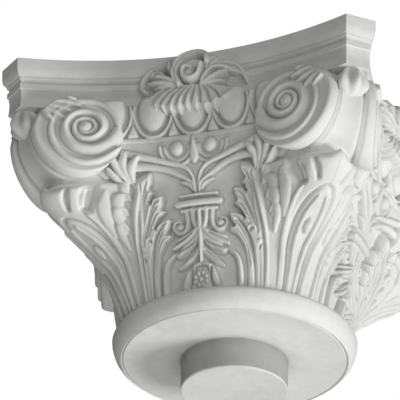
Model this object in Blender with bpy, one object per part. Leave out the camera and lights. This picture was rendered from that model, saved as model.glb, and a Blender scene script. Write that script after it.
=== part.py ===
"""A corinthian capital, cast in one piece: ring moulding and boss below, bell with acanthus
leaves, corner volutes, egg course, and a hollow-sided abacus with a flower on each side.

Heights along the bell and across a face are drawn in modules, the unit that carvers use,
and the module follows from the bell's own height. The origin is the middle of the
boss's underside, and +Y is the back, so -Y is the face that is drawn."""

import math

import bmesh
import bpy
import numpy as np

# Driving sizes, in metres
NECK_RADIUS = 0.146
RING_RADIUS = 0.1575
RING_HEIGHT = 0.0285
BOSS_RADIUS = 0.0686
BOSS_HEIGHT = 0.044
BELL_FOOT_RADIUS = 0.1395
BELL_LIP_RADIUS = 0.1845
BELL_HEIGHT = 0.24825
CORNER_LEAF_REACH = 0.273
CORNER_BLOCK_REACH = 0.268
ABACUS_HALF_WIDTH = 0.2496
ABACUS_HEIGHT = 0.0669
ABACUS_HOLLOW = 0.0524
ABACUS_CUT = 0.0428
VOLUTE_RADIUS = 0.0670
VOLUTE_EYE_RADIUS = 0.0100
VOLUTE_PROUD = 0.0055
EGG_PITCH = 0.0525
EGGS_A_SIDE = 5
FLOWER_REACH = 0.0240

# The module, and the stretch of the drawing that the bell takes up
DRAWN_LOW = 0.190
DRAWN_HIGH = 1.845
DRAWN_TOP = 2.291
MODULE = BELL_HEIGHT / (DRAWN_HIGH - DRAWN_LOW)

# Heights of the main levels
UNDERSIDE = BOSS_HEIGHT
BELL_FOOT = UNDERSIDE + RING_HEIGHT
BELL_TOP = BELL_FOOT + BELL_HEIGHT
TOP = BELL_TOP + ABACUS_HEIGHT

# How finely each shape is cut
HALF_FACE_COLUMNS = 60
BELL_ROWS = 140
BELL_TRIANGLES = 4000
TURNED_SIDES = 48
VOLUTE_TRIANGLES = 380
FLOWER_TRIANGLES = 230
MERGE = 1e-6
SNAP = 0.0005

PLASTER = (0.80, 0.80, 0.79, 1.0)
PLASTER_ROUGHNESS = 0.85

DIAGONAL = math.sqrt(2)
CORNER_ANGLE = math.pi / 4


def smooth(t):
    t = np.clip(t, 0, 1)
    return t * t * (3 - 2 * t)


def curve(points, steps=14):
    """A smooth line through the points; further columns, such as a width, are carried along."""
    p = np.asarray(points, float)
    p = np.vstack([2 * p[0] - p[1], p, 2 * p[-1] - p[-2]])
    each = max(3, steps // (len(p) - 3))
    t = np.linspace(0, 1, each, endpoint=False)[:, None]
    out = []
    for a, b, c, d in zip(p, p[1:], p[2:], p[3:]):
        bend = 2 * a - 5 * b + 4 * c - d
        out.append(0.5 * (2 * b + (c - a) * t + bend * t**2 + (3 * b - a - 3 * c + d) * t**3))
    return np.vstack(out + [p[-2][None]])


def along(x, points):
    """The height at x of the smooth line through the points."""
    line = curve(points, 12 * len(points))
    return np.interp(x, line[:, 0], line[:, 1])


class Sheet:
    """A flat drawing, x across and z up, both in modules, with the height of its carving."""

    def __init__(self, x, z):
        self.x = x
        self.z = z
        self.height = np.zeros((len(z), len(x)))

    def roll(self, points, width, height, lift=0.0, crisp=0.3):
        """A raised strip along a line. Width (half), crown height and lift each take one
        value, or several that are spread from the line's start to its end."""
        path = curve(points)
        reach = np.max(width)
        cols = slice(*np.searchsorted(self.x, [path[:, 0].min() - reach, path[:, 0].max() + reach]))
        rows = slice(*np.searchsorted(self.z, [path[:, 1].min() - reach, path[:, 1].max() + reach]))
        x = self.x[None, cols]
        z = self.z[rows, None]
        nearest = np.full((z.shape[0], x.shape[1]), np.inf)
        share = np.zeros_like(nearest)
        lengths = np.hypot(*np.diff(path, axis=0).T)
        done = 0.0
        for a, b, length in zip(path, path[1:], lengths):
            ux, uz = (b - a) / length
            t = np.clip((x - a[0]) * ux + (z - a[1]) * uz, 0, length)
            distance = np.hypot(x - a[0] - t * ux, z - a[1] - t * uz)
            closer = distance < nearest
            nearest = np.where(closer, distance, nearest)
            share = np.where(closer, (done + t) / lengths.sum(), share)
            done += length

        def spread(values):
            values = np.atleast_1d(values)
            return np.interp(share, np.linspace(0, 1, len(values)), values)

        t = nearest / spread(width)
        body = (spread(lift) + spread(height) * np.clip(1 - t * t, 0, 1)) * smooth((1 - t) / crisp)
        self.height[rows, cols] = np.maximum(self.height[rows, cols], np.where(t < 1, body, 0))

    def dome(self, at, size, height, lift=0.0):
        t = np.hypot((self.x[None, :] - at[0]) / size[0], (self.z[:, None] - at[1]) / size[1])
        body = (lift + height * np.sqrt(np.clip(1 - t * t, 0, 1))) * smooth((1 - t) / 0.2)
        self.height = np.maximum(self.height, body)

    def finger(self, root, bend, tip, width, height, lift):
        """One finger of a leaf: narrow where it leaves the rib, full, then rounded off."""
        widths = [width * s for s in (0.45, 0.9, 1.0, 0.95, 0.45)]
        heights = [height * s for s in (0.6, 1.0, 1.0, 1.0, 0.5)]
        self.roll([root, bend, tip], widths, heights, np.linspace(*lift, 4))

    def lobe(self, root, bend, tip, part, width, height, lift):
        """Two fingers side by side that part towards their tips, the upper one longer."""
        root, bend, tip, part = (np.array(p, float) for p in (root, bend, tip, part))
        for side, length in ((-0.8, 0.84), (0.6, 1.0)):
            end = root + (tip + part * side - root) * length
            self.finger(root, bend + 0.55 * part * side, end, width, height, lift)

    def soften(self, times):
        """Rounds the carving off, as a cast does."""
        for _ in range(times):
            h = np.pad(self.height, 1, mode="edge")
            h = (h[:-2] + 2 * h[1:-1] + h[2:]) / 4
            self.height = (h[:, :-2] + 2 * h[:, 1:-1] + h[:, 2:]) / 4


# The bell is drawn in degrees from the middle of a face; ARC turns them into modules
ARC = math.radians(1.0) * 1.10


def at_degrees(*points):
    return [(degrees * ARC, z) for degrees, z in points]


def carve_stalk(sheet):
    """The plain stalk between leaf and middle ornament, hooked over at its top."""
    line = at_degrees((19.8, 0.10), (19.7, 0.32), (18.9, 0.44), (16.8, 0.515), (13.0, 0.545))
    sheet.roll(line, [0.031, 0.031, 0.031, 0.027, 0.012], 0.04, lift=0.012)


def carve_tall_leaf(sheet):
    """The leaf beside the middle ornament: rim, stem, lobes to both sides and midrib."""
    rim = at_degrees((25.5, 0.10), (24.7, 0.38), (22.9, 0.56), (19.8, 0.645), (15.0, 0.705))
    sheet.roll(rim, [0.022, 0.022, 0.024, 0.026, 0.010], 0.03, lift=[0.03, 0.05, 0.07])
    stem = at_degrees((29.0, 0.10), (28.6, 0.42), (27.4, 0.58), (25.6, 0.73))
    sheet.roll(stem, [0.055, 0.05, 0.04, 0.02], 0.012, lift=0.035)
    lobes = (
        ((28.5, 0.38), (22.6, 0.68), (15.2, 0.820), (1.4, 0.045)),
        ((30.0, 0.58), (23.8, 0.88), (17.2, 1.035), (1.8, 0.045)),
        ((29.0, 0.80), (24.0, 1.06), (20.2, 1.215), (1.3, 0.030)),
        ((29.6, 0.76), (28.6, 0.98), (29.2, 1.085), (1.4, -0.030)),
        ((31.6, 0.60), (31.6, 0.86), (33.2, 1.020), (1.4, -0.040)),
        ((33.0, 0.42), (33.0, 0.70), (35.4, 0.860), (1.3, -0.050)),
        ((25.6, 1.16), (25.9, 1.25), (27.2, 1.325), (1.6, -0.020)),
    )
    for number, places in enumerate(lobes):
        root, bend, tip, part = at_degrees(*places)
        sheet.lobe(root, bend, tip, part, 0.042, 0.025, (0.045 + 0.005 * number, 0.09))
    midrib = at_degrees((33.3, 0.10), (33.0, 0.40), (32.2, 0.62), (30.2, 0.86), (27.6, 1.07), (25.0, 1.24))
    sheet.roll(midrib, [0.030, 0.026, 0.022, 0.014], 0.022, lift=[0.05, 0.07, 0.10])
    stem_end = at_degrees((22.2, 1.16), (21.6, 1.26), (20.9, 1.38))
    sheet.roll(stem_end, 0.020, 0.008, lift=0.07)


def carve_corner_leaf(sheet):
    """Flutes that run up from the ring and fan out into the leaf's curled top."""
    for foot, waist, top in ((43.4, 43.6, 42.5), (38.4, 38.2, 37.5), (34.0, 33.6, 33.6)):
        middle = ((foot + 0.4, 0.35), (waist - 0.8, 0.60), (waist - 0.6, 0.84))
        line = at_degrees((foot, 0.10), *middle, (top, 1.03))
        sheet.roll(line, [0.038, 0.036, 0.036, 0.034, 0.026], 0.045, crisp=0.9)
    sheet.roll(at_degrees((45.0, 0.10), (45.0, 0.60), (45.0, 1.10)), [0.020, 0.018, 0.026], 0.05, crisp=0.6)


def carve_middle_ornament(sheet):
    """Bracket, rolled stems, drooping leaves and seed head on the middle of the face."""
    bands = ((1.040, 1.070, 9.0, 0.045), (0.960, 1.024, 10.6, 0.065), (0.905, 0.945, 8.6, 0.05))
    for low, high, end, lift in bands:
        middle = (low + high) / 2
        sheet.roll(at_degrees((-end, middle), (0, middle), (end, middle)), (high - low) / 2, 0.014, lift=lift)
    bud = ((5.3, 0.92), (5.2, 0.82), (6.2, 0.755), (8.8, 0.725), (12.2, 0.76), (12.0, 0.815), (9.5, 0.825))
    sheet.roll(at_degrees(*bud), [0.030, 0.030, 0.026, 0.022, 0.016], 0.02, lift=0.04)
    sheet.dome((9.4 * ARC, 0.775), (0.045, 0.042), 0.05, lift=0.03)
    stem = at_degrees((1.9, 0.92), (1.8, 0.80), (1.2, 0.64), (0.9, 0.44))
    sheet.roll(stem, [0.028, 0.026, 0.020, 0.014], 0.025, lift=0.04)
    droops = (
        ((0.9, 0.75), (5.8, 0.675), (13.2, 0.600), (0.8, 0.045)),
        ((0.7, 0.60), (4.6, 0.520), (11.0, 0.440), (0.3, 0.040)),
        ((1.6, 0.45), (5.2, 0.380), (8.8, 0.210), (1.1, 0.010)),
    )
    for places in droops:
        root, bend, tip, part = at_degrees(*places)
        sheet.lobe(root, bend, tip, part, 0.040, 0.025, (0.05, 0.07))
    sheet.dome((0.0, 0.29), (0.085, 0.095), 0.05, lift=0.03)


def carve_straps(sheet):
    """Straps that sweep out to the volutes, and the balls and dart under the egg course."""
    low = ((1.4, 1.08), (2.8, 1.15), (5.8, 1.20), (10.5, 1.245), (16.0, 1.285), (22.0, 1.31), (28.0, 1.30))
    sheet.roll(at_degrees(*low), [0.014, 0.022, 0.026, 0.030, 0.030], 0.016, lift=[0.03, 0.05, 0.05])
    high = ((0.9, 1.08), (1.6, 1.19), (4.0, 1.275), (8.0, 1.315), (14.0, 1.35), (20.0, 1.40), (27.0, 1.44))
    sheet.roll(at_degrees(*high), [0.012, 0.020, 0.024, 0.028, 0.034], 0.016, lift=[0.03, 0.06, 0.06])
    ball = (8.2 * ARC, 1.415)
    cup = [(ball[0] + 0.095 * math.sin(a), ball[1] - 0.095 * math.cos(a)) for a in np.linspace(-1.9, 1.9, 7)]
    sheet.roll(cup, 0.018, 0.02, lift=0.03)
    sheet.dome(ball, (0.054, 0.056), 0.075, lift=0.01)
    sheet.roll(at_degrees((0.0, 1.50), (0.0, 1.40), (0.0, 1.22)), [0.014, 0.036, 0.010], 0.03, lift=0.03)


def carve_egg_course(sheet):
    """Eggs in their shells with a dart between each two, over a plain fillet."""
    sheet.roll([(-0.2, 1.512), (0.5, 1.512), (1.2, 1.512)], 0.026, 0.004, lift=0.035)
    pitch = EGG_PITCH / MODULE
    middle = (EGGS_A_SIDE - 1) / 2
    for number in range(EGGS_A_SIDE):
        x = (number - middle) * pitch
        shell = [(x + 0.138 * math.sin(a), 1.715 - 0.172 * math.cos(a)) for a in np.linspace(-2, 2, 9)]
        sheet.roll(shell, 0.020, 0.02, lift=0.035)
        sheet.dome((x, 1.735), (0.102, 0.150), 0.085)
    for number in range(EGGS_A_SIDE + 1):
        x = (number - middle - 0.5) * pitch
        sheet.roll([(x, 1.70), (x, 1.62), (x, 1.545)], [0.008, 0.038, 0.012], 0.03, lift=0.02)


# The bell's outline at the middle of a face and along the diagonal, as shares of the way
# from its foot to its lip and to the reach of the corner leaf
FACE_OUTLINE = (
    (0.10, 0.0), (0.17, 0.0), (0.30, 0.03), (0.60, 0.17), (0.90, 0.38),
    (1.20, 0.73), (1.42, 1.0), (1.56, 1.06), (1.90, 1.23))
CORNER_OUTLINE = (
    (0.10, 0.02), (0.17, 0.02), (0.30, 0.07), (0.59, 0.20), (0.72, 0.35),
    (0.82, 0.51), (0.90, 0.67), (1.00, 0.87), (1.08, 1.0))
LEAF_TOP = 1.08
BLOCK_LOW = 1.15


def side_end():
    """How far across a side the abacus hollow runs before the corner is cut."""
    return ABACUS_HALF_WIDTH - ABACUS_CUT / DIAGONAL


def side_out(x, back=0.0):
    """Distance of the abacus side from the axis at x across it, set back by a given depth."""
    return ABACUS_HALF_WIDTH - ABACUS_HOLLOW - back + ABACUS_HOLLOW * (x / side_end()) ** 2


def bell_radius(angle, z):
    """Radius of the plain bell: round at its foot, hollow-sided like the abacus at its top."""
    face = BELL_FOOT_RADIUS + (BELL_LIP_RADIUS - BELL_FOOT_RADIUS) * along(z, FACE_OUTLINE)
    leaf_share = along(np.minimum(z, LEAF_TOP), CORNER_OUTLINE)
    leaf = BELL_FOOT_RADIUS + (CORNER_LEAF_REACH - BELL_FOOT_RADIUS) * leaf_share
    step = smooth((z - LEAF_TOP) / (BLOCK_LOW - LEAF_TOP))
    corner = leaf + (CORNER_BLOCK_REACH - leaf) * step
    narrow = np.interp(z, [0.2, 0.8, 1.1, 1.3], [0.42, 0.28, 0.24, 0.26])
    round_part = face + (corner - face) * np.exp(-(((CORNER_ANGLE - angle) / narrow) ** 2))
    a = ABACUS_HOLLOW * np.sin(angle) ** 2 / side_end() ** 2
    b = np.cos(angle)
    root = b * b - 4 * a * face
    hollow = 2 * face / (b + np.sqrt(np.maximum(root, 0)))
    hollow = np.where(root < 0, np.inf, hollow)
    square_part = np.minimum(hollow, corner / np.cos(CORNER_ANGLE - angle))
    blend = smooth((z - 1.12) / 0.26)
    return round_part * (1 - blend) + square_part * blend


def bell_height(z):
    return BELL_FOOT + (z - DRAWN_LOW) * MODULE


def carved_half_face():
    """Points of half a face, from its middle to the corner, carved along the bell's normals."""
    share = np.linspace(0, 1, HALF_FACE_COLUMNS + 1)
    angles = CORNER_ANGLE * (share + 0.3 * np.sin(math.pi * share) / math.pi)
    z = np.linspace(0.12, 1.90, BELL_ROWS)
    angle, height = np.meshgrid(angles, z)
    radius = bell_radius(angle, height)
    plain = np.stack([radius * np.sin(angle), -radius * np.cos(angle), bell_height(height)], -1)

    leaves = Sheet(np.degrees(angles) * ARC, z)
    for carve in (carve_stalk, carve_tall_leaf, carve_corner_leaf, carve_middle_ornament, carve_straps):
        carve(leaves)
    leaves.soften(3)
    course = Sheet(np.linspace(0, 1.3, 2 * HALF_FACE_COLUMNS), z)
    carve_egg_course(course)
    course.soften(3)
    eggs = [np.interp(x, course.x, row) for x, row in zip(plain[:, :, 0] / MODULE, course.height)]
    carving = np.maximum(leaves.height, eggs) * MODULE

    normal = np.cross(np.gradient(plain, axis=1), np.gradient(plain, axis=0))
    normal[:, 0, 0] = 0
    normal[:, -1, 0] = (normal[:, -1, 0] - normal[:, -1, 1]) / 2
    normal[:, -1, 1] = -normal[:, -1, 0]
    normal /= np.linalg.norm(normal, axis=2, keepdims=True)
    points = plain + normal * carving[..., None]
    points[[0, -1], :, 2] = plain[[0, -1], :, 2]
    return points


def turn_quarters(points, quarters):
    """The points turned about the axis by whole quarter turns."""
    turned = points.copy()
    for _ in range(quarters):
        turned = np.stack([-turned[..., 1], turned[..., 0], turned[..., 2]], -1)
    return turned


def across_diagonal(points):
    """The points mirrored in the upright plane through the corner at +X, -Y."""
    return np.stack([-points[..., 1], -points[..., 0], points[..., 2]], -1)


def loops_to_faces(loops, count):
    """Quads between each loop of points and the next, then a flat face over each end."""
    faces = []
    for loop in range(loops - 1):
        for i in range(count):
            j = (i + 1) % count
            a, b = loop * count, (loop + 1) * count
            faces.append((a + i, a + j, b + j, b + i))
    faces.append(tuple(reversed(range(count))))
    faces.append(tuple(range((loops - 1) * count, loops * count)))
    return faces


def mesh_object(name, loops):
    """A closed object from loops of points, each loop running counter-clockwise from above."""
    loops = np.asarray(loops)
    faces = loops_to_faces(len(loops), loops.shape[1])
    mesh = bpy.data.meshes.new(name)
    mesh.from_pydata(loops.reshape(-1, 3).tolist(), [], faces)
    mesh.update()
    made = bpy.data.objects.new(name, mesh)
    bpy.context.scene.collection.objects.link(made)
    return made


def apply_modifiers(made):
    """Keeps the object's shape as its modifiers leave it."""
    graph = bpy.context.evaluated_depsgraph_get()
    mesh = bpy.data.meshes.new_from_object(made.evaluated_get(graph))
    made.modifiers.clear()
    old = made.data
    made.data = mesh
    bpy.data.meshes.remove(old)


def thin_out(made, triangles):
    """Fewer triangles, kept where the shape bends most."""
    made.data.calc_loop_triangles()
    thin = made.modifiers.new("thin", "DECIMATE")
    thin.ratio = min(1.0, triangles / len(made.data.loop_triangles))
    apply_modifiers(made)


def add_mirrored(shape, across):
    """Adds the mirror image of the whole shape, welded to it where they meet."""
    copy = bmesh.ops.duplicate(shape, geom=shape.verts[:] + shape.edges[:] + shape.faces[:])["geom"]
    for item in copy:
        if isinstance(item, bmesh.types.BMVert):
            item.co = across(*item.co)
    bmesh.ops.reverse_faces(shape, faces=[item for item in copy if isinstance(item, bmesh.types.BMFace)])
    bmesh.ops.remove_doubles(shape, verts=shape.verts, dist=MERGE)


def snap_edges(shape, low, high):
    """Puts the open edges of an eighth back exactly on its two mirror planes and end levels."""
    for vert in shape.verts:
        if not vert.is_boundary:
            continue
        x, y, z = vert.co
        if abs(x) < SNAP:
            x = 0.0
        elif abs(x + y) < 2 * SNAP:
            x = (x - y) / 2
            y = -x
        for level in (low, high):
            if abs(z - level) < SNAP:
                z = level
        vert.co = (x, y, z)


def make_bell():
    """An eighth of the bell is carved and thinned out, then mirrored three times and closed."""
    points = carved_half_face()
    rows, cols = points.shape[:2]
    number = np.arange(rows * cols).reshape(rows, cols)
    quads = np.stack([number[:-1, :-1], number[:-1, 1:], number[1:, 1:], number[1:, :-1]], -1)
    mesh = bpy.data.meshes.new("capital")
    mesh.from_pydata(points.reshape(-1, 3).tolist(), [], quads.reshape(-1, 4).tolist())
    bell = bpy.data.objects.new("capital", mesh)
    bpy.context.scene.collection.objects.link(bell)
    thin_out(bell, BELL_TRIANGLES // 8)

    shape = bmesh.new()
    shape.from_mesh(bell.data)
    snap_edges(shape, points[0, 0, 2], points[-1, 0, 2])
    add_mirrored(shape, lambda x, y, z: (-x, y, z))
    add_mirrored(shape, lambda x, y, z: (-y, -x, z))
    add_mirrored(shape, lambda x, y, z: (y, x, z))
    bmesh.ops.holes_fill(shape, edges=[edge for edge in shape.edges if edge.is_boundary])
    bmesh.ops.recalc_face_normals(shape, faces=shape.faces)
    shape.to_mesh(bell.data)
    shape.free()
    return bell


# The ring moulding: height and how far out, as shares of its own height and depth
RING_OUTLINE = ((0.0, 0.0), (0.10, 0.34), (0.30, 0.74), (0.55, 0.94), (0.80, 1.0), (0.93, 0.80), (1.0, 0.35))
FILLET = 0.0012
FOOT_SETBACK = 0.004


def make_foot():
    """Boss, flat underside and ring moulding, turned on one axis."""
    outline = [(BOSS_RADIUS - FILLET, 0.0), (BOSS_RADIUS, FILLET), (BOSS_RADIUS, UNDERSIDE)]
    for up, out in RING_OUTLINE:
        outline.append((NECK_RADIUS + (RING_RADIUS - NECK_RADIUS) * out, UNDERSIDE + RING_HEIGHT * up))
    outline.append((BELL_FOOT_RADIUS - FOOT_SETBACK, BELL_FOOT))
    turns = np.linspace(0, 2 * math.pi, TURNED_SIDES, endpoint=False)
    loops = [[(r * math.cos(t), r * math.sin(t), z) for t in turns] for r, z in outline]
    return mesh_object("foot", loops)


# The abacus outline from its top down: set back and height, as shares of its height
ABACUS_OUTLINE = (
    (0.0, 1.0), (0.0, 0.80), (0.05, 0.65), (0.076, 0.60), (0.12, 0.55),
    (0.12, 0.49), (0.09, 0.48), (0.09, 0.39), (0.12, 0.37), (0.11, 0.0))
ABACUS_STEPS = 5


def abacus_loop(back, z):
    """One level of the abacus: four hollow sides and four cut corners."""
    reach = (side_end() + ABACUS_HALF_WIDTH) / DIAGONAL - back
    a = ABACUS_HOLLOW / side_end() ** 2
    c = side_out(0, back) - DIAGONAL * reach
    end = (math.sqrt(1 - 4 * a * c) - 1) / (2 * a)
    x = np.linspace(-end, end, 2 * ABACUS_STEPS + 1)
    side = np.stack([x, -side_out(x, back), np.full_like(x, z)], -1)
    return np.concatenate([turn_quarters(side, k) for k in range(4)])


def make_abacus():
    levels = [(back * ABACUS_HEIGHT, BELL_TOP + up * ABACUS_HEIGHT) for back, up in reversed(ABACUS_OUTLINE)]
    loops = [abacus_loop(back, z) for back, z in levels]
    return mesh_object("abacus", loops)


# The volute: where its eye stands, and its strap's outer edge by angle from the eye
EYE_ACROSS = 0.605
EYE_DRAWN_HEIGHT = 1.605
STRAP_EDGE = (
    (-180, 0.64), (-150, 0.77), (-120, 0.95), (-90, 1.0), (-45, 0.97), (0, 0.95),
    (30, 0.90), (60, 0.79), (90, 0.66), (135, 0.64), (180, 0.64))
COIL_EDGE = 0.65
COIL_SHRINK = 1.5
COIL_DEPTH = 0.0045


def strap_edge(turn):
    degrees = np.degrees(turn)
    angles, shares = np.transpose(STRAP_EDGE)
    return VOLUTE_RADIUS * np.interp(degrees, angles, shares)


def coil_height(reach, turn):
    """Height of the volute's face: coils that shrink with each turn, round a domed eye."""
    edge = VOLUTE_RADIUS * COIL_EDGE * COIL_SHRINK ** (-(turn - math.pi / 2) / (2 * math.pi))
    turns = np.log(np.maximum(reach, 1e-5) / edge) / math.log(COIL_SHRINK)
    across = turns - np.floor(turns)
    height = COIL_DEPTH * (1 - np.abs(2 * across - 1) ** 3)
    eye = VOLUTE_EYE_RADIUS * 0.6 * np.sqrt(np.clip(1 - (reach / VOLUTE_EYE_RADIUS) ** 2, 0, 1))
    return np.where(reach < VOLUTE_EYE_RADIUS, eye, np.where(turns > 0.3, COIL_DEPTH * 0.4, height))


def make_volute(corner):
    """One corner's pair of volutes: a spiral face on each side and the band between them."""
    around, rings, band = 60, 16, 6
    turn = np.linspace(-math.pi, math.pi, around, endpoint=False)
    eye_x = EYE_ACROSS * side_end()
    eye_z = bell_height(EYE_DRAWN_HEIGHT)
    face = []
    for share in np.linspace(0.06, 1, rings):
        reach = share * strap_edge(turn)
        x = eye_x + reach * np.cos(turn)
        z = eye_z + reach * np.sin(turn)
        raised = coil_height(reach, turn) * smooth((1 - share) / 0.06)
        face.append(np.stack([x, -side_out(x) - VOLUTE_PROUD - raised, z], -1))
    rim = face[-1]
    outward = np.cos(turn + math.radians(20)).clip(0, 1)[:, None] * np.array([1, -1, 0]) / DIAGONAL
    between = []
    for share in np.linspace(0, 1, band + 1)[1:-1]:
        hollow = -0.006 * math.sin(math.pi * share)
        between.append(rim * (1 - share) + across_diagonal(rim) * share + outward * hollow)
    loops = face + between + [across_diagonal(ring) for ring in reversed(face)]
    made = mesh_object("volute", turn_quarters(np.array(loops), corner)[::-1])
    thin_out(made, VOLUTE_TRIANGLES)
    return made


def make_flower(side):
    """The flower on an abacus side: a curl, leaves to each side and a husk over the eggs."""
    sheet = Sheet(np.linspace(-0.50, 0.50, 41), np.linspace(1.68, 2.27, 33))
    for hand in (-1, 1):
        for number, (x, drop) in enumerate(((0.06, 0.215), (0.19, 0.20), (0.30, 0.15), (0.40, 0.08))):
            root = (hand * (0.02 + 0.03 * number), 1.955)
            bend = (hand * (0.75 * x + 0.02), 1.93 - 0.25 * drop)
            sheet.finger(root, bend, (hand * (x + 0.02), 1.93 - drop), 0.045, 0.03, (0.11, 0.075))
        for number, reach in enumerate((0.40, 0.43, 0.40, 0.33, 0.27)):
            a = math.radians(8 + 17 * number)
            bend = (hand * 0.62 * reach * math.cos(1.25 * a), 1.965 + 0.6 * reach * math.sin(1.25 * a))
            tip = (hand * reach * math.cos(a), 1.975 + 0.8 * reach * math.sin(a))
            sheet.finger((hand * 0.02, 1.955), bend, tip, 0.045, 0.035, (0.10, 0.14))
    curl = [((0.145 - 0.055 * t) * math.cos(a), 2.115 + (0.135 - 0.05 * t) * math.sin(a))
            for t in np.linspace(0, 1.4, 12) for a in [math.radians(300 * t - 120)]]
    sheet.roll(curl, [0.040, 0.044, 0.030], 0.05, lift=[0.15, 0.18, 0.17])

    x, z = np.meshgrid(sheet.x, sheet.z)
    cushion = np.sqrt(np.clip(1 - (x / 0.44) ** 2 - ((z - 2.03) / 0.25) ** 2, 0, 1))
    depth = FLOWER_REACH * (0.45 * cushion + sheet.height / 0.18)
    out = side_out(0) - 0.115 * MODULE + depth
    above = (z - DRAWN_HIGH) / (DRAWN_TOP - DRAWN_HIGH) * ABACUS_HEIGHT
    z = BELL_TOP + np.where(z > DRAWN_HIGH, above, (z - DRAWN_HIGH) * MODULE)
    front = np.stack([x * MODULE, -out, z], -1)
    back = front.copy()
    back[..., 1] = -side_out(0) + 0.25 * MODULE
    loops = np.concatenate([front, back[:, ::-1]], axis=1)
    made = mesh_object("flower", turn_quarters(loops, side))
    thin_out(made, FLOWER_TRIANGLES)
    return made


def join(body, others):
    """One solid of the body and everything that is cast with it."""
    cast_on = bpy.data.collections.new("cast on")
    for other in others:
        cast_on.objects.link(other)
    union = body.modifiers.new("union", "BOOLEAN")
    union.operation = "UNION"
    union.solver = "EXACT"
    union.operand_type = "COLLECTION"
    union.collection = cast_on
    apply_modifiers(body)
    for other in others:
        bpy.data.objects.remove(other)
    bpy.data.collections.remove(cast_on)


def finish(body):
    plaster = bpy.data.materials.new("plaster")
    plaster.use_nodes = True
    shader = plaster.node_tree.nodes["Principled BSDF"]
    shader.inputs["Base Color"].default_value = PLASTER
    shader.inputs["Roughness"].default_value = PLASTER_ROUGHNESS
    shader.inputs["Metallic"].default_value = 0.0
    body.data.materials.clear()
    body.data.materials.append(plaster)
    body.data.shade_smooth()
    body.data.set_sharp_from_angle(angle=math.radians(40))


def main():
    for old in list(bpy.data.objects):
        bpy.data.objects.remove(old)
    capital = make_bell()
    volutes = [make_volute(corner) for corner in range(4)]
    flowers = [make_flower(side) for side in range(4)]
    join(capital, [make_foot(), make_abacus(), *volutes, *flowers])
    finish(capital)


main()
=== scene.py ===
"""A corinthian capital in white plaster, seen from below and a little from its right.

The carving is drawn on flat sheets in modules, then wrapped round the bell, over the faces
of the volutes and onto the flowers. One module is 150 mm, a little more than the radius of
the flat underside, and heights are drawn from that underside."""

import math

import bpy
import numpy as np
from mathutils import Matrix, Vector


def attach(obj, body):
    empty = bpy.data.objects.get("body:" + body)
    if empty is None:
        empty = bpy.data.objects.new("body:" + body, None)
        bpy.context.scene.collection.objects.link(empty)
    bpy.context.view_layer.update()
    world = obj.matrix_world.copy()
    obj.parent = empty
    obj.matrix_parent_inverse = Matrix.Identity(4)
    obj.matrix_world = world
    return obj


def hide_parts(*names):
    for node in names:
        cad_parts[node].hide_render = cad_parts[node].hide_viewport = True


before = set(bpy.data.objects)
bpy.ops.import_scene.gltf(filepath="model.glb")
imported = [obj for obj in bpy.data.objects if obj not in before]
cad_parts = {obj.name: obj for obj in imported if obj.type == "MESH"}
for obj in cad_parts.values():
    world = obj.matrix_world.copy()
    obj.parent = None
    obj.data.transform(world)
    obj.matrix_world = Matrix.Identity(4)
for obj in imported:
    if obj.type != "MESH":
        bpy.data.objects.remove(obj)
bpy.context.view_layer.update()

# The module, and the height of the flat underside above the boss's end, in metres
MODULE = 0.150
UNDERSIDE = 0.044
# The abacus in modules: half its width, how far its sides are hollowed, and its cut corners
HALF = 1.6635
HOLLOW = 0.349
CUT = 0.285
SIDE = HALF - CUT / math.sqrt(2)
BELL_LOW = 0.15
BELL_HIGH = 1.88

# How finely the carving is cut
BELL_COLUMNS = 155
BELL_ROWS = 250
VOLUTE_AROUND = 150
VOLUTE_RINGS = 64
BAND_STEPS = 22
KNOB_AROUND = 72
KNOB_RINGS = 36
ABACUS_STEPS = 40
FOOT_SIDES = 160
# How much closer the bell's columns stand at a corner than at the middle of a face
CROWDING = 0.30

# How finely it is drawn: points across and up each sheet
BELL_DRAWING = (520, 900)
COURSE_DRAWING = (420, 900)
CAP_DRAWING = (220, 220)
FLOWER_DRAWING = (160, 110)

# A degree from the middle of a face, as a length on the drawing of the bell
ARC = math.radians(1.0) * 1.10
DRAWN_DEGREES = 46
DRAWN_COURSE = 1.4


def smooth(t):
    t = np.clip(t, 0, 1)
    return t * t * (3 - 2 * t)


def curve(points, steps=16):
    """A smooth line through the points."""
    p = np.asarray(points, float)
    p = np.vstack([2 * p[0] - p[1], p, 2 * p[-1] - p[-2]])
    each = max(3, steps // (len(p) - 3))
    t = np.linspace(0, 1, each, endpoint=False)[:, None]
    out = []
    for a, b, c, d in zip(p, p[1:], p[2:], p[3:]):
        bend = 2 * a - 5 * b + 4 * c - d
        out.append(0.5 * (2 * b + (c - a) * t + bend * t**2 + (3 * b - a - 3 * c + d) * t**3))
    return np.vstack(out + [p[-2][None]])


def along(x, points):
    """The height at x of the smooth line through the points."""
    line = curve(points, 12 * len(points))
    return np.interp(x, line[:, 0], line[:, 1])


def spread(values, share):
    """Values set out evenly from a line's start to its end, read at each share of the way."""
    values = np.atleast_1d(values).astype(float)
    return np.interp(share, np.linspace(0, 1, len(values)), values)


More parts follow.
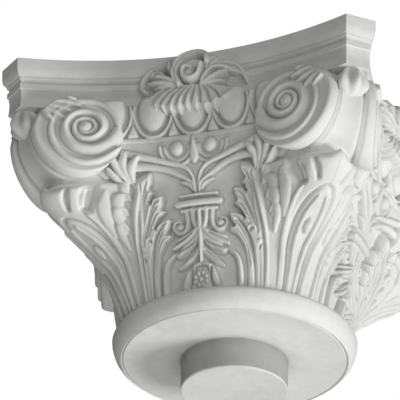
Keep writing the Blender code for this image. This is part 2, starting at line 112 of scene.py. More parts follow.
class Sheet:
    """A flat drawing, x across and z up, with the height of its carving."""

    def __init__(self, x, z):
        self.x = x
        self.z = z
        self.height = np.zeros((len(z), len(x)))

    def near(self, points, reach):
        """The part of the sheet within reach of a line: its distance, and how far along."""
        path = curve(points, 8 * len(points))
        cols = slice(*np.searchsorted(self.x, [path[:, 0].min() - reach, path[:, 0].max() + reach]))
        rows = slice(*np.searchsorted(self.z, [path[:, 1].min() - reach, path[:, 1].max() + reach]))
        x = self.x[None, cols]
        z = self.z[rows, None]
        nearest = np.full((z.shape[0], x.shape[1]), 1e9)
        share = np.zeros_like(nearest)
        lengths = np.maximum(np.hypot(*np.diff(path, axis=0).T), 1e-9)
        done = 0.0
        for a, b, length in zip(path, path[1:], lengths):
            ux, uz = (b - a) / length
            t = np.clip((x - a[0]) * ux + (z - a[1]) * uz, 0, length)
            distance = (x - a[0] - t * ux) ** 2 + (z - a[1] - t * uz) ** 2
            closer = distance < nearest
            nearest = np.where(closer, distance, nearest)
            share = np.where(closer, (done + t) / lengths.sum(), share)
            done += length
        return (rows, cols), np.sqrt(nearest), share

    def roll(self, points, width, height, lift=0.0, crisp=0.25, crown=1.0):
        """A raised strip along a line. Width is half the strip's, height its crown's, and
        lift how far its edges stand up; each is one value or several spread along it."""
        window, distance, share = self.near(points, np.max(width))
        t = distance / spread(width, share)
        body = spread(lift, share) + spread(height, share) * np.clip(1 - t * t, 0, 1) ** crown
        body = np.where(t < 1, body * smooth((1 - t) / crisp), 0)
        self.height[window] = np.maximum(self.height[window], body)

    def cut(self, points, width, depth):
        """A rounded groove taken off whatever is there."""
        window, distance, share = self.near(points, np.max(width))
        t = np.clip(distance / spread(width, share), 0, 1)
        self.height[window] -= spread(depth, share) * (0.5 + 0.5 * np.cos(math.pi * t))

    def dome(self, at, size, height, lift=0.0, crisp=0.2):
        """An oval knob with the given half width and half height."""
        t = np.hypot((self.x[None, :] - at[0]) / size[0], (self.z[:, None] - at[1]) / size[1])
        body = (lift + height * np.sqrt(np.clip(1 - t * t, 0, 1))) * smooth((1 - t) / crisp)
        self.height = np.maximum(self.height, body)

    def plate(self, points, edge, height):
        """A raised shape with the given outline and height, rounded down over its edge."""
        path = curve(points + points[:1], 4 * len(points))
        whole_sheet = 2.0
        window, distance, _ = self.near(points + points[:1], whole_sheet)
        x = self.x[None, window[1]]
        z = self.z[window[0], None]
        inside = np.zeros(distance.shape, bool)
        for a, b in zip(path, path[1:]):
            if a[1] != b[1]:
                crosses = (z < max(a[1], b[1])) & (z >= min(a[1], b[1]))
                inside ^= crosses & (x < a[0] + (z - a[1]) / (b[1] - a[1]) * (b[0] - a[0]))
        body = height(x, z) * np.sqrt(np.clip(1 - np.clip(1 - distance / edge, 0, 1) ** 2, 0, 1))
        self.height[window] = np.maximum(self.height[window], np.where(inside, body, 0))

    def add_ridge(self, points, width, height):
        """A rounded ridge on top of whatever is there."""
        self.cut(points, width, -height)

    def finger(self, root, bend, tip, width, height, lift):
        """One finger of a leaf: narrow where it leaves the rib, full, then rounded off."""
        widths = [width * s for s in (0.45, 0.9, 1.0, 0.95, 0.45)]
        heights = [height * s for s in (0.6, 1.0, 1.0, 1.0, 0.5)]
        self.roll([root, bend, tip], widths, heights, np.linspace(*lift, 4), crisp=0.22)

    def soften(self, times):
        """Rounds the carving off, as a cast does."""
        for _ in range(times):
            h = np.pad(self.height, 1, mode="edge")
            h = (h[:-2] + 2 * h[1:-1] + h[2:]) / 4
            self.height = (h[:, :-2] + 2 * h[:, 1:-1] + h[:, 2:]) / 4

    def read(self, x, z):
        """The height at any points of the sheet."""
        i = np.clip((x - self.x[0]) / (self.x[1] - self.x[0]), 0, len(self.x) - 1.001)
        j = np.clip((z - self.z[0]) / (self.z[1] - self.z[0]), 0, len(self.z) - 1.001)
        i0, j0 = i.astype(int), j.astype(int)
        u, v = i - i0, j - j0
        h = self.height
        low = h[j0, i0] * (1 - u) + h[j0, i0 + 1] * u
        high = h[j0 + 1, i0] * (1 - u) + h[j0 + 1, i0 + 1] * u
        return low * (1 - v) + high * v


def degrees(*points):
    """Points of the bell's drawing from degrees off the middle of the face, and heights."""
    return [(a * ARC, z) for a, z in points]


def carve_stalk(sheet):
    """The plain stalk between leaf and middle ornament, hooked over at its top."""
    sheet.roll(degrees((19.9, 0.10), (19.8, 0.30), (19.0, 0.43), (17.3, 0.50), (15.0, 0.535), (12.7, 0.56)),
               [0.036, 0.036, 0.035, 0.032, 0.026, 0.012], 0.030, lift=0.034, crisp=0.30)
    sheet.cut(degrees((13.6, 0.585), (12.5, 0.57), (12.6, 0.53)), 0.014, 0.02)


# The tall leaf's outline from its foot, up its notched inner edge and down its outer one
TALL_LEAF = (
    (23.2, 0.08), (23.0, 0.35), (22.1, 0.51), (20.3, 0.605), (17.6, 0.672), (15.0, 0.702), (13.7, 0.722),
    (15.0, 0.742), (16.6, 0.752), (15.2, 0.795), (13.8, 0.872), (16.8, 0.872), (19.6, 0.855), (21.8, 0.822),
    (19.6, 0.885), (17.4, 0.925), (15.9, 0.950), (17.8, 0.968), (16.6, 1.015), (15.6, 1.082), (18.4, 1.080),
    (20.8, 1.068), (22.3, 1.030), (21.2, 1.080), (19.9, 1.118), (21.2, 1.160), (19.7, 1.200), (18.7, 1.268),
    (20.9, 1.268), (23.4, 1.248), (25.6, 1.215), (27.0, 1.150), (28.1, 1.070), (29.1, 0.990), (30.1, 0.900),
    (31.1, 0.800), (32.1, 0.690), (32.9, 0.570), (33.5, 0.420), (34.1, 0.250), (34.4, 0.08))
# Grooves that part the leaf's fingers: places along each, then half width and depth
LEAF_GROOVES = (
    (((27.2, 0.10), (26.8, 0.33), (25.7, 0.50), (24.2, 0.62), (22.2, 0.715), (19.8, 0.775),
      (17.6, 0.80)), 0.020, 0.050),
    (((24.0, 1.215), (25.6, 1.09), (26.9, 0.97), (28.1, 0.85), (29.3, 0.73), (30.2, 0.60), (30.8, 0.45),
      (31.1, 0.20)), 0.018, 0.040),
    (((20.6, 1.235), (23.0, 1.165), (24.9, 1.07), (26.3, 0.96)), 0.016, 0.036),
    (((22.0, 1.155), (23.6, 1.09), (25.2, 0.99), (26.6, 0.88)), 0.015, 0.036),
    (((21.2, 1.118), (23.0, 1.055), (24.8, 0.955), (26.8, 0.82), (28.2, 0.70)), 0.015, 0.034),
    (((17.0, 1.050), (20.2, 1.020), (23.2, 0.930), (25.8, 0.815), (27.8, 0.690)), 0.017, 0.040),
    (((18.0, 1.005), (21.0, 0.965), (23.9, 0.870), (26.4, 0.740)), 0.015, 0.034),
    (((17.4, 0.948), (20.4, 0.922), (23.0, 0.850), (25.2, 0.760)), 0.015, 0.032),
    (((15.2, 0.845), (18.4, 0.815), (21.4, 0.745), (24.0, 0.645), (25.8, 0.530)), 0.017, 0.040),
    (((16.6, 0.790), (19.2, 0.745), (21.8, 0.665), (24.0, 0.560), (25.2, 0.440)), 0.015, 0.034),
    (((15.4, 0.722), (18.6, 0.700), (21.2, 0.632), (23.2, 0.535), (24.3, 0.400)), 0.013, 0.026))
# The drilled eyes where lobes part
LEAF_EYES = (
    ((23.4, 0.812), (21.8, 0.808), (21.1, 0.775)), ((26.4, 0.716), (24.8, 0.716), (24.0, 0.680)),
    ((29.6, 0.590), (28.7, 0.570), (28.6, 0.535)), ((23.6, 1.045), (22.7, 1.025), (22.3, 0.995)))
# Small lobes that curl over beyond the midrib
OUTER_LOBES = (
    ((34.0, 0.70), (34.2, 0.80), (33.4, 0.868), (32.3, 0.870), (31.8, 0.835)),
    ((32.8, 0.81), (32.9, 0.91), (32.0, 0.980), (30.8, 0.980), (30.3, 0.940)),
    ((31.6, 0.92), (31.6, 1.02), (30.5, 1.092), (29.2, 1.090), (28.7, 1.050)),
    ((29.6, 1.06), (29.0, 1.16), (27.6, 1.215), (26.4, 1.205), (26.1, 1.160)))
# The lobes' folds over their drilled eyes
LEAF_FOLDS = (
    ((23.6, 0.815), (22.6, 0.835), (21.0, 0.825)), ((26.6, 0.715), (25.4, 0.742), (23.8, 0.730)),
    ((30.2, 0.60), (29.6, 0.625), (28.0, 0.610)), ((24.2, 1.03), (23.2, 1.058), (21.8, 1.058)))


def carve_tall_leaf(sheet):
    """The leaf beside the middle ornament: outer lobes, blade, fingers, midrib, eyes and folds."""
    for points in OUTER_LOBES:
        sheet.roll(degrees(*points), [0.022, 0.030, 0.030, 0.026, 0.012], 0.022,
                   lift=[0.045, 0.055, 0.060, 0.050], crisp=0.35)
    sheet.plate(degrees(*TALL_LEAF), 0.026, lambda x, z: 0.050 + 0.054 * smooth((z - 0.3) / 0.7))
    for points, width, depth in LEAF_GROOVES:
        sheet.cut(degrees(*points), [0.6 * width, 1.2 * width, 1.2 * width, 0.7 * width],
                  [0.3 * depth, 0.75 * depth, 0.75 * depth, 0.3 * depth])
    sheet.cut(degrees((29.0, 0.12), (28.8, 0.35), (28.5, 0.50)), 0.050, [0.010, 0.014, 0.008])
    for points in LEAF_EYES:
        sheet.cut(degrees(*points), [0.010, 0.017, 0.010], [0.01, 0.032, 0.01])
    for points in LEAF_FOLDS:
        sheet.add_ridge(degrees(*points), 0.016, 0.008)


# The corner leaf's outline, and its flutes: places along each, half widths, heights and lifts
CORNER_LEAF = (
    (29.0, 0.08), (29.0, 0.55), (28.0, 0.80), (26.5, 1.00), (26.0, 1.15), (28.0, 1.215),
    (31.0, 1.20), (34.0, 1.18), (38.0, 1.15), (42.0, 1.13), (48.0, 1.11), (48.0, 0.08))
FLUTES = (
    (((38.8, 0.10), (38.6, 0.35), (37.8, 0.60), (37.4, 0.75), (37.7, 0.88), (38.6, 0.97)),
     (0.058, 0.054, 0.046, 0.040, 0.034, 0.020), (0.010, 0.012, 0.018, 0.024, 0.024),
     (0.026, 0.030, 0.044, 0.046)),
    (((43.4, 0.10), (43.2, 0.35), (42.6, 0.58), (42.2, 0.72), (42.6, 0.83), (43.8, 0.91)),
     (0.046, 0.044, 0.038, 0.034, 0.030, 0.020), (0.012, 0.012, 0.018, 0.024, 0.024),
     (0.026, 0.030, 0.044, 0.044)))
# The grooves between its folded tips: places along each, then half width and depth
TIP_GROOVES = (
    (((34.8, 1.175), (35.8, 1.11), (37.0, 1.04), (38.3, 0.985)), 0.046, 0.070),
    (((39.5, 1.13), (40.5, 1.07), (41.8, 1.00)), 0.020, 0.055))


def carve_corner_leaf(sheet):
    """Flutes that run up from the ring and fan out into the leaf's curled top."""
    sheet.plate(degrees(*CORNER_LEAF), 0.03, lambda x, z: 0.028 + 0.022 * smooth((z - 0.4) / 0.6))
    for points, widths, heights, lifts in FLUTES:
        sheet.roll(degrees(*points), widths, heights, lift=lifts, crisp=0.7)
    sheet.cut(degrees((41.4, 0.12), (41.0, 0.38), (40.2, 0.56), (39.7, 0.70), (39.9, 0.80),
                      (41.0, 0.89), (43.2, 0.95), (45.8, 0.97)), 0.020, 0.028)
    sheet.roll(degrees((33.2, 1.12), (34.6, 1.00), (35.7, 0.88), (36.2, 0.80)),
               [0.014, 0.034, 0.042, 0.038, 0.022], 0.022, lift=[0.046, 0.052, 0.046], crisp=0.5)
    sheet.roll(degrees((45.6, 0.10), (45.6, 0.60), (45.6, 0.86)), [0.016, 0.018, 0.020], 0.02,
               lift=0.03, crisp=0.6)
    sheet.dome((45.3 * ARC, 0.745), (0.040, 0.062), 0.034, lift=0.045, crisp=0.3)
    for points, width, depth in TIP_GROOVES:
        sheet.cut(degrees(*points), [0.5 * width, width, 0.7 * width], depth)
    sheet.add_ridge(degrees((36.2, 1.13), (37.4, 1.06), (38.6, 1.00)), 0.011, 0.030)


# The middle ornament's drooping stems: places along each, half widths and lift
STEMS = (
    (((0.0, 0.60), (3.4, 0.53), (7.0, 0.47), (11.4, 0.415)),
     (0.020, 0.034, 0.038, 0.034, 0.012), 0.030),
    (((0.3, 0.73), (3.2, 0.66), (7.0, 0.60), (10.8, 0.545), (12.2, 0.55)),
     (0.018, 0.034, 0.052, 0.050, 0.028), 0.034),
    (((1.0, 0.76), (4.0, 0.70), (8.4, 0.650), (13.8, 0.605)),
     (0.016, 0.026, 0.028, 0.026, 0.012), 0.046),
    (((2.4, 0.75), (5.6, 0.71), (9.0, 0.685), (12.4, 0.665)),
     (0.012, 0.018, 0.022, 0.012), 0.040))
STEM_GROOVES = (
    ((2.0, 0.655), (6.0, 0.605), (10.6, 0.575)), ((2.2, 0.560), (5.8, 0.505), (9.8, 0.455)),
    ((4.0, 0.715), (8.6, 0.670), (13.0, 0.635)), ((5.6, 0.575), (8.6, 0.540), (11.2, 0.515)))
# The bars of its bracket: lower and upper edge, where they end, and lift
BARS = ((1.030, 1.062, 8.4, 0.055), (0.950, 1.012, 9.8, 0.070), (0.905, 0.940, 8.2, 0.052))
# The round of beads at its foot
BEADS = 8
BEAD_CIRCLE = 0.058
BEADS_HEIGHT = 0.292


def carve_middle_ornament(sheet):
    """Bracket, rolled stems, drooping leaves and seed head on the middle of the face."""
    for points, widths, lift in STEMS:
        sheet.roll(degrees(*points), widths, 0.026, lift=lift, crisp=0.3)
    for points in STEM_GROOVES:
        sheet.cut(degrees(*points), [0.008, 0.014, 0.008], 0.026)
    sheet.plate(degrees((0.0, 0.46), (2.4, 0.46), (5.4, 0.43), (7.6, 0.36), (9.6, 0.27), (10.4, 0.17),
                        (0.0, 0.17)), 0.018, lambda x, z: 0.045)
    sheet.plate(degrees((5.6, 0.385), (7.0, 0.375), (8.8, 0.30), (9.8, 0.215), (7.6, 0.215),
                        (6.2, 0.25), (5.4, 0.30)), 0.014, lambda x, z: 0.078)
    sheet.cut(degrees((5.0, 0.41), (4.8, 0.33), (5.6, 0.24), (6.4, 0.20)), 0.016, 0.035)
    sheet.cut(degrees((0.0, 0.425), (2.6, 0.41), (3.6, 0.36)), 0.016, 0.035)
    sheet.dome((0.0, BEADS_HEIGHT), (0.026, 0.026), 0.03, lift=0.05)
    for k in range(BEADS):
        a = 2 * math.pi * (k + 0.5) / BEADS
        at = (BEAD_CIRCLE * math.sin(a), BEADS_HEIGHT + BEAD_CIRCLE * math.cos(a))
        sheet.dome(at, (0.024, 0.024), 0.03, lift=0.05)
    sheet.roll(degrees((0.0, 0.91), (0.0, 0.80), (0.0, 0.70), (0.0, 0.56), (0.0, 0.46)),
               [0.022, 0.030, 0.028, 0.024, 0.012], 0.024, lift=0.05, crisp=0.3)
    sheet.roll(degrees((3.2, 0.92), (3.0, 0.84), (2.0, 0.77), (0.9, 0.72)),
               [0.030, 0.030, 0.024, 0.014], 0.026, lift=0.038, crisp=0.3)
    sheet.roll(degrees((6.2, 0.92), (5.8, 0.83), (6.6, 0.765), (8.8, 0.735), (11.4, 0.745),
                       (13.0, 0.79), (12.0, 0.832), (9.6, 0.838)),
               [0.026, 0.028, 0.026, 0.024, 0.022, 0.018, 0.012], 0.022, lift=0.036, crisp=0.3)
    sheet.dome((9.9 * ARC, 0.790), (0.046, 0.036), 0.040, lift=0.020)
    for low, high, end, lift in BARS:
        middle = (low + high) / 2
        sheet.roll(degrees((-end, middle), (end, middle)), (high - low) / 2, 0.014, lift=lift,
                   crisp=0.30, crown=0.5)


# The strap's outline and its two lips: places along each, half widths and lifts
STRAP = (
    (0.4, 1.06), (5.0, 1.140), (8.0, 1.195), (11.6, 1.240), (15.8, 1.272), (20.4, 1.285),
    (25.0, 1.275), (30.0, 1.25), (33.0, 1.24), (33.0, 1.50), (-2.0, 1.50), (-2.0, 1.06))
STRAP_LIPS = (
    (((0.8, 1.07), (1.8, 1.14), (4.4, 1.185), (8.4, 1.235), (13.0, 1.285), (19.0, 1.315), (26.0, 1.310)),
     (0.012, 0.020, 0.026, 0.030, 0.030), (0.04, 0.055, 0.06)),
    (((0.7, 1.07), (1.2, 1.17), (3.0, 1.250), (6.6, 1.300), (12.0, 1.335), (18.0, 1.375), (25.0, 1.415)),
     (0.010, 0.018, 0.024, 0.030, 0.036), (0.04, 0.06, 0.065)))
# The spray of leaf where the strap meets the volute: each finger's root, bend, tip and half width
SPRAY = (
    ((25.6, 1.22), (24.6, 1.31), (21.6, 1.385), 0.030), ((26.6, 1.23), (26.4, 1.33), (24.8, 1.425), 0.028),
    ((27.6, 1.22), (28.2, 1.30), (28.4, 1.390), 0.026), ((28.4, 1.16), (29.8, 1.23), (30.6, 1.310), 0.026))
DART = (
    (-0.006, 1.53), (0.006, 1.53), (0.030, 1.45), (0.042, 1.36), (0.020, 1.30), (-0.020, 1.30),
    (-0.042, 1.36), (-0.030, 1.45))


def carve_straps(sheet):
    """Straps that sweep out to the volutes, and the balls and dart under the egg course."""
    sheet.plate(degrees(*STRAP), 0.018, lambda x, z: 0.026)
    for points, widths, lifts in STRAP_LIPS:
        sheet.roll(degrees(*points), widths, 0.016, lift=lifts, crisp=0.3)
    sheet.roll(degrees((1.8, 1.08), (3.0, 1.125), (5.0, 1.150), (7.2, 1.165)),
               [0.010, 0.018, 0.022, 0.012], 0.020, lift=0.035)
    for root, bend, tip, width in SPRAY:
        sheet.finger(*degrees(root, bend, tip), width, 0.030, (0.07, 0.09))
    ball = (6.9 * ARC, 1.430)
    for reach, lift in ((0.128, 0.040), (0.093, 0.030)):
        cup = [(ball[0] + reach * math.sin(a), ball[1] - reach * math.cos(a))
               for a in np.linspace(-1.75, 1.75, 9)]
        sheet.roll(cup, 0.017, 0.018, lift=lift)
    sheet.dome(ball, (0.062, 0.064), 0.075, lift=0.015)
    sheet.plate(list(DART), 0.026, lambda x, z: 0.075)


# The egg course: how many eggs a side, their pitch, and how far they stand out
EGGS = 5
EGG_PITCH = 0.35
EGG_RISE = 0.105
OUTER_EGG_RISE = 0.065
FILLET_HEIGHT = 1.520


def carve_egg_course(sheet):
    """Eggs in their shells with a dart between each two, over a plain fillet."""
    sheet.roll([(-0.2, FILLET_HEIGHT), (DRAWN_COURSE, FILLET_HEIGHT)], 0.026, 0.004, lift=0.040,
               crisp=0.3, crown=0.5)
    for k in range(EGGS):
        x = (k - (EGGS - 1) / 2) * EGG_PITCH
        turns = np.linspace(-1.9, 1.9, 13)
        shell = [(x + 0.164 * math.sin(a), 1.765 - 0.222 * math.cos(a)) for a in turns]
        sheet.roll(shell, [0.014, 0.019, 0.014], 0.016, lift=0.046)
        sheet.dome((x, 1.785), (0.136, 0.218), OUTER_EGG_RISE if k in (0, EGGS - 1) else EGG_RISE)
    for k in range(EGGS + 1):
        x = (k - EGGS / 2) * EGG_PITCH
        dart = [(x - 0.052, 1.548), (x + 0.052, 1.548), (x + 0.012, 1.665), (x, 1.72), (x - 0.012, 1.665)]
        sheet.plate(dart, 0.024, lambda x, z: 0.062)


# The plain bell at the middle of a face and along the diagonal: height, then radius
FACE = (
    (0.10, 0.93), (0.17, 0.93), (0.30, 0.94), (0.60, 0.98), (0.90, 1.045), (1.20, 1.15),
    (1.42, 1.23), (1.50, 1.25), (1.56, 1.25), (1.90, 1.30))
CORNER = (
    (0.10, 0.95), (0.17, 0.95), (0.30, 0.99), (0.59, 1.11), (0.72, 1.24), (0.82, 1.38),
    (0.90, 1.52), (1.00, 1.69), (1.09, 1.81), (1.16, 1.84), (1.205, 1.79), (1.29, 1.80),
    (1.39, 1.80), (1.90, 1.80))
# Its corners' width, as an angle either side of the diagonal: height, then width
CORNER_WIDTHS = ((0.2, 0.42), (0.8, 0.28), (1.1, 0.24), (1.3, 0.26))
# The height from which the bell turns hollow-sided, and over how much it does
SQUARE_FROM = 1.12
SQUARE_OVER = 0.26


def wall_out(x):
    """Distance of the abacus side from the axis at x across it."""
    return HALF - HOLLOW + HOLLOW * (x / SIDE) ** 2


def bell_radius(angle, z):
    """Radius of the plain bell: round at its foot, hollow-sided like the abacus at its top."""
    face = along(z, FACE)
    corner = along(z, CORNER)
    narrow = np.interp(z, *np.transpose(CORNER_WIDTHS))
    round_part = face + (corner - face) * np.exp(-(((math.pi / 4 - angle) / narrow) ** 2))
    a = HOLLOW * np.sin(angle) ** 2 / SIDE**2
    b = np.cos(angle)
    root = b * b - 4 * a * face
    hollow = np.where(root < 0, 9.0, 2 * face / (b + np.sqrt(np.maximum(root, 0))))
    square_part = np.minimum(hollow, corner / np.cos(math.pi / 4 - angle))
    blend = smooth((z - SQUARE_FROM) / SQUARE_OVER)
    return round_part * (1 - blend) + square_part * blend


def carved_face():
    """The bell from corner to corner across one face, carved along its own normals."""
    share = np.linspace(0, 1, BELL_COLUMNS + 1)
    angles = math.pi / 4 * (share + CROWDING * np.sin(math.pi * share) / math.pi)
    z = np.linspace(BELL_LOW, BELL_HIGH, BELL_ROWS + 1)
    angle, height = np.meshgrid(angles, z)
    radius = bell_radius(angle, height)
    plain = np.stack([radius * np.sin(angle), -radius * np.cos(angle), height], -1)

    across, up = BELL_DRAWING
    fine = Sheet(np.linspace(0, DRAWN_DEGREES * ARC, across), np.linspace(BELL_LOW, BELL_HIGH, up))
    for carve in (carve_stalk, carve_tall_leaf, carve_corner_leaf, carve_middle_ornament, carve_straps):
        carve(fine)
    fine.soften(2)
    across, up = COURSE_DRAWING
    course = Sheet(np.linspace(0, DRAWN_COURSE, across), np.linspace(BELL_LOW, BELL_HIGH, up))
    carve_egg_course(course)
    course.soften(2)
    carving = np.maximum(fine.read(np.degrees(angle) * ARC, height), course.read(plain[..., 0], height))

    normal = np.cross(np.gradient(plain, axis=1), np.gradient(plain, axis=0))
    normal[:, 0, 0] = 0
    normal[:, -1, 0] = (normal[:, -1, 0] - normal[:, -1, 1]) / 2
    normal[:, -1, 1] = -normal[:, -1, 0]
    normal /= np.linalg.norm(normal, axis=2, keepdims=True)
    right = plain + normal * carving[..., None]
    right[[0, -1], :, 2] = plain[[0, -1], :, 2]
    left = right[:, :0:-1] * np.array([-1, 1, 1])
    return np.concatenate([left, right], axis=1)


def turned(points, quarters):
    """The points turned about the axis by whole quarter turns."""
    points = np.asarray(points, float).copy()
    for _ in range(quarters):
        points = np.stack([-points[..., 1], points[..., 0], points[..., 2]], -1)
    return points


def across_diagonal(points):
    """The points mirrored in the upright plane through the corner at +X, -Y."""
    return np.stack([-points[..., 1], -points[..., 0], points[..., 2]], -1)


def piece(name, points, faces, flat=()):
    """A piece of the capital from points in modules; the faces numbered in flat stay flat."""
    points = np.asarray(points, float).reshape(-1, 3) * MODULE + (0, 0, UNDERSIDE)
    mesh = bpy.data.meshes.new(name)
    mesh.from_pydata(points.tolist(), [], faces)
    mesh.shade_smooth()
    for number in flat:
        mesh.polygons[number].use_smooth = False
    mesh.update()
    made = bpy.data.objects.new(name, mesh)
    bpy.context.scene.collection.objects.link(made)
    made.data.materials.append(PLASTER)
    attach(made, "root")
    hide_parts("capital")
    return made


def sheet_faces(rows, cols):
    """The numbers of a grid's points, and the quads between them."""
    number = np.arange(rows * cols).reshape(rows, cols)
    quads = np.stack([number[:-1, :-1], number[:-1, 1:], number[1:, 1:], number[1:, :-1]], -1)
    return number, [tuple(q) for q in quads.reshape(-1, 4).tolist()]


def loop_faces(loops, count, first=0):
    """Quads between each closed loop of points and the next."""
    faces = []
    for loop in range(loops - 1):
        a, b = first + loop * count, first + (loop + 1) * count
        faces += [(a + i, a + (i + 1) % count, b + (i + 1) % count, b + i) for i in range(count)]
    return faces


def closed_faces(loops, count):
    """The quads between closed loops of points, and a face over the first and last loop."""
    last = (loops - 1) * count
    return [*loop_faces(loops, count), tuple(reversed(range(count))), tuple(range(last, last + count))]


def make_bell():
    """Four quarters of the bell, each closed back to the axis."""
    face = carved_face()
    rows, cols = face.shape[:2]
    number, faces = sheet_faces(rows, cols)
    low, high = rows * cols, rows * cols + 1
    carved = len(faces)
    faces.append((low, *number[0, ::-1].tolist()))
    faces.append((high, *number[-1].tolist()))
    faces.append((low, *number[:, 0].tolist(), high))
    faces.append((high, *number[::-1, -1].tolist(), low))
    for side in range(4):
        points = np.concatenate([turned(face, side).reshape(-1, 3), [(0, 0, BELL_LOW), (0, 0, BELL_HIGH)]])
        piece(f"bell_quarter_{side}", points, faces, flat=range(carved, len(faces)))


# The volute's face stands proud of the wall. Its eye: place, radius, lift and dome
PROUD = 0.035
EYE_X = 0.885
EYE_Z = 1.605
EYE_RADIUS = 0.052
EYE_LIFT = 0.050
EYE_DOME = 0.032
# Reach from the eye by degrees round it: the volute's edge, its lip and its first coil's edge
EDGE = (
    (-180, 0.285), (-150, 0.335), (-120, 0.380), (-90, 0.392), (-45, 0.400), (0, 0.420),
    (30, 0.395), (60, 0.350), (90, 0.300), (135, 0.285), (180, 0.285))
LIP_LINE = (
    (-180, 0.30), (-135, 0.318), (-90, 0.318), (-45, 0.302), (0, 0.286), (45, 0.272),
    (90, 0.262), (180, 0.258))
COIL_LINE = (
    (-180, 0.383), (-135, 0.310), (-90, 0.265), (-45, 0.246), (0, 0.233), (45, 0.221),
    (90, 0.212), (135, 0.207), (180, 0.204))
COIL_GROWTH = 1.88
# How far the coils, the lip and the whole spiral's middle stand out, and the grooves' depth
COIL_RISE = 0.058
MIDDLE_RISE = 0.045
MIDDLE_REACH = 0.25
LIP_RISE = 0.040
LIP_WIDTH = 0.034
LIP_GROOVE_OFF = 0.040
LIP_GROOVE_WIDTH = 0.012
# The band between two faces, by share of the way out from its middle
FLUTE_AT = 0.56
FLUTE_DEPTH = 0.046
FLUTE_WIDTH = 0.045


def volute_edge(turn):
    """How far the volute's face reaches from its eye."""
    angles, reach = np.transpose(EDGE)
    return np.interp(np.degrees(turn), angles, reach)


def coil_edge(turn):
    """The outer edge of the first coil; it shrinks by the growth with each turn inwards."""
    angles, reach = np.transpose(COIL_LINE)
    return np.interp(np.degrees(turn), angles, reach)


def carve_volute(reach, turn):
    """Height of the volute's face: rounded coils that rise inwards to a domed eye, and the
    strap's lip round them."""
    coils = np.log(coil_edge(turn) / np.maximum(reach, 1e-4)) / math.log(COIL_GROWTH)
    across = coils - np.floor(coils)
    body = COIL_RISE * np.clip(np.sin(math.pi * across), 0, 1)
    groove = 0.020 * np.exp(-((np.minimum(across, 1 - across) / 0.09) ** 2))
    fade = 0.55 + 0.45 * smooth((reach - 0.06) / 0.08)
    coil = MIDDLE_RISE * (1 - reach / MIDDLE_REACH) + fade * (body - groove)
    lip_line = np.interp(np.degrees(turn), *np.transpose(LIP_LINE))
    lip = LIP_RISE * np.sqrt(np.clip(1 - ((reach - lip_line) / LIP_WIDTH) ** 2, 0, 1))
    for side, depth in ((-LIP_GROOVE_OFF, 0.020), (LIP_GROOVE_OFF, 0.012)):
        lip = lip - depth * np.exp(-(((reach - lip_line - side) / LIP_GROOVE_WIDTH) ** 2))
    height = np.where(reach < coil_edge(turn), coil, lip)
    eye = EYE_LIFT + EYE_DOME * np.sqrt(np.clip(1 - (reach / EYE_RADIUS) ** 2, 0, 1))
    return np.where(reach < EYE_RADIUS, eye, height)


# The leaf over the volute's upper outer part: its root, then each finger's tip, bend and width
CAP_ROOT = (1.29, 1.84)
CAP_FINGERS = (
    ((0.98, 1.88), (1.10, 1.92), 0.032), ((0.94, 1.82), (1.08, 1.86), 0.034),
    ((0.99, 1.755), (1.11, 1.81), 0.032), ((1.07, 1.705), (1.16, 1.77), 0.030),
    ((1.15, 1.675), (1.21, 1.74), 0.028))


def cap_leaf():
    """The drawing of the leaf over a volute's face, its fingers pointing inwards."""
    across, up = CAP_DRAWING
    sheet = Sheet(np.linspace(0.5, 1.5, across), np.linspace(1.1, 2.1, up))
    for tip, bend, width in CAP_FINGERS:
        sheet.finger(CAP_ROOT, bend, tip, width, 0.030, (0.0, 0.045))
    sheet.soften(1)
    return sheet


def make_volutes():
    """At each corner a spiral face to either side and the fluted band that rolls between."""
    turn = np.linspace(-math.pi, math.pi, VOLUTE_AROUND, endpoint=False)
    leaf = cap_leaf()
    # The band's mouldings fade out where it runs back under the abacus
    shown = smooth((np.cos(turn + math.radians(20)) + 0.3) / 0.5)
    face = []
    for share in np.linspace(0, 1, VOLUTE_RINGS + 1)[1:]:
        reach = share * volute_edge(turn)
        x = EYE_X + reach * np.cos(turn)
        z = EYE_Z + reach * np.sin(turn)
        raised = np.maximum(carve_volute(reach, turn), leaf.read(x, z)) * smooth((1 - share) / 0.05)
        face.append(np.stack([x, -(wall_out(x) + PROUD + raised), z], -1))
    eye = np.array([EYE_X, -(wall_out(EYE_X) + PROUD + EYE_LIFT + EYE_DOME), EYE_Z])
    rim = face[-1]
    far = across_diagonal(rim)
    out = (rim[:, 0] - rim[:, 1]) / math.sqrt(2)
    d_out = np.roll(out, -1) - np.roll(out, 1)
    d_up = np.roll(rim[:, 2], -1) - np.roll(rim[:, 2], 1)
    length = np.hypot(d_out, d_up)
    normal = np.stack([d_up / length / math.sqrt(2), -d_up / length / math.sqrt(2), -d_out / length], -1)
    band = []
    for across in np.linspace(-1, 1, BAND_STEPS + 1)[1:-1]:
        t = abs(across)
        raised = 0.012 * smooth((1 - t) / 0.05) * smooth((t - 0.60) / 0.05)
        raised -= FLUTE_DEPTH * math.exp(-(((t - FLUTE_AT) / FLUTE_WIDTH) ** 2))
        raised -= 0.02 * max(0, 1 - (t / 0.5) ** 2)
        band.append(rim * (1 - across) / 2 + far * (1 + across) / 2 + normal * (shown * raised)[:, None])
    loops = face + band + [across_diagonal(ring) for ring in reversed(face)]
    count = VOLUTE_AROUND
    last = 1 + len(loops) * count
    faces = [(0, 1 + (i + 1) % count, 1 + i) for i in range(count)]
    faces += [quad[::-1] for quad in loop_faces(len(loops), count, 1)]
    faces += [(last - count + i, last - count + (i + 1) % count, last) for i in range(count)]
    points = np.concatenate([[eye], *loops, [across_diagonal(eye)]])
    for corner in range(4):
        piece(f"volute_{corner}", turned(points, corner), faces)


# The curled leaf tip under an abacus corner: its radius, how far out and up it is, its lobes
KNOB_RADIUS = 0.135
KNOB_OUT = 2.035
KNOB_UP = 1.735
KNOB_LOBES = 6


